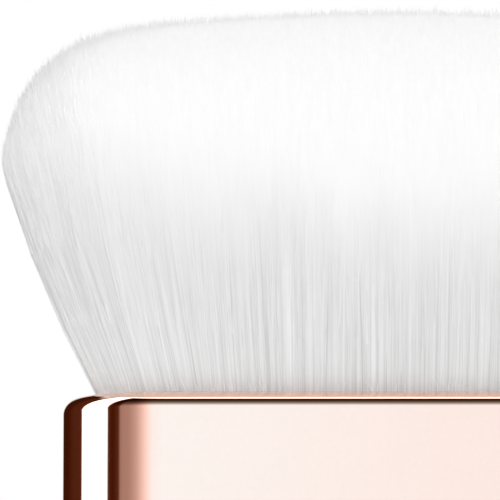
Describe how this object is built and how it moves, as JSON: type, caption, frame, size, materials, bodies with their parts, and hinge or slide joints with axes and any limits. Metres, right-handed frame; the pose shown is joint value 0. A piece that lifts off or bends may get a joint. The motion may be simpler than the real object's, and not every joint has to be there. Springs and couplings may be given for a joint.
{
  "type": "kabuki makeup brush",
  "caption": "Free-standing kabuki makeup brush: a wide, flat, dense head of white filaments in a weighted rose gold handle with rounded ends.",
  "frame": {"origin": "middle of the foot pad's underside, on the surface that the brush stands on", "axes": "+Z from the base to the bristles, X along the wide side of the handle, Y from front to back"},
  "size_m": [0.0588, 0.024, 0.0672],
  "materials": {
    "rose_gold_metal": "polished rose gold",
    "filament": "fine white synthetic filaments",
    "bonded_filament": "filament ends bonded into a block",
    "resin": "clear amber resin",
    "adhesive": "cured adhesive",
    "moulded_plastic": "moulded, lightly grained",
    "plated_plastic": "rose gold plated",
    "bare_aluminium": "plain rolled band",
    "steel": "sawn and zinc plated",
    "foam": "closed cell foam",
    "soft_pad": "matt non-slip"
  },
  "bodies": {
    "root": {"outer_shell": "rose_gold_metal", "shell_adhesive": "adhesive", "bristles": "filament", "root_block": "bonded_filament", "root_band": "bare_aluminium", "root_resin": "resin", "bristle_cup": "moulded_plastic", "cup_screws": "steel", "handle_core": "moulded_plastic", "counterweight": "steel", "foam_pad": "foam", "base_plug": "plated_plastic", "base_screws": "steel", "foot_pad": "soft_pad"}
  },
  "joints": []
}
